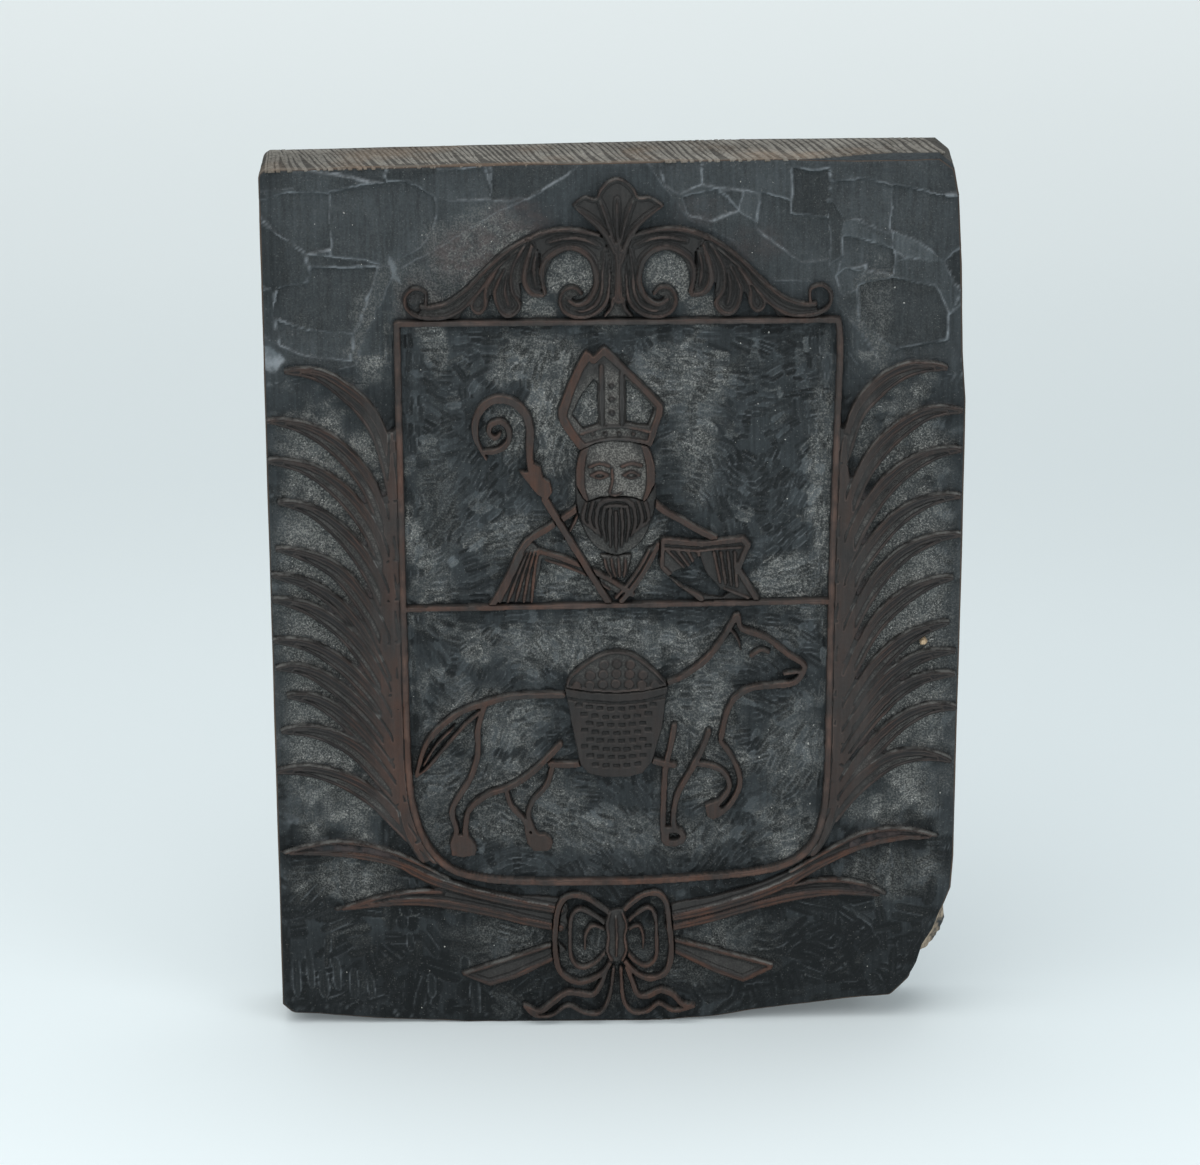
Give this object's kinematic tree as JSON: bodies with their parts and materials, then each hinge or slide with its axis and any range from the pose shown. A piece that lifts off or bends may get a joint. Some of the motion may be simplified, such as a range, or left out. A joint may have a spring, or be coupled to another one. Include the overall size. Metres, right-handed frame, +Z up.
{
  "type": "wooden printing block",
  "caption": "Hand-carved wooden relief block for printing: a shield with a mitred half figure and a laden beast, between palms, under a leafy crest.",
  "frame": {"origin": "middle of the foot, on the floor that the block stands on", "axes": "+Z up along the grain, +X to the right of someone who faces the carved side, the carved side looks towards -Y and the plain back towards +Y"},
  "size_m": [0.201, 0.03, 0.263],
  "materials": {
    "inked_wood": "matte hardwood stained black by old printing ink, dusty in the cuts",
    "worn_wood": "ink-stained hardwood rubbed brown along the printing lines, slight sheen"
  },
  "bodies": {
    "root": {"plank": "inked_wood", "shield_frame": "worn_wood", "shield_bar": "worn_wood", "crest_palmette": "worn_wood", "crest_scroll_left": "worn_wood", "crest_scroll_right": "worn_wood", "crest_leaves_left": "worn_wood", "crest_leaves_right": "worn_wood", "palm_left": "worn_wood", "palm_right": "worn_wood", "low_leaves_left": "worn_wood", "low_leaves_right": "worn_wood", "cut_stalk_left": "worn_wood", "cut_stalk_right": "worn_wood", "bow_knot": "worn_wood", "bow_loop_left": "worn_wood", "bow_loop_right": "worn_wood", "ribbon_tail_left": "worn_wood", "ribbon_tail_right": "worn_wood", "mitre": "worn_wood", "head": "worn_wood", "beard": "worn_wood", "crosier": "worn_wood", "robe": "worn_wood", "book": "worn_wood", "beast": "worn_wood", "beast_tail": "worn_wood", "beast_forelegs": "worn_wood", "beast_hind_legs": "worn_wood", "basket": "worn_wood", "basket_load": "worn_wood"}
  },
  "joints": []
}
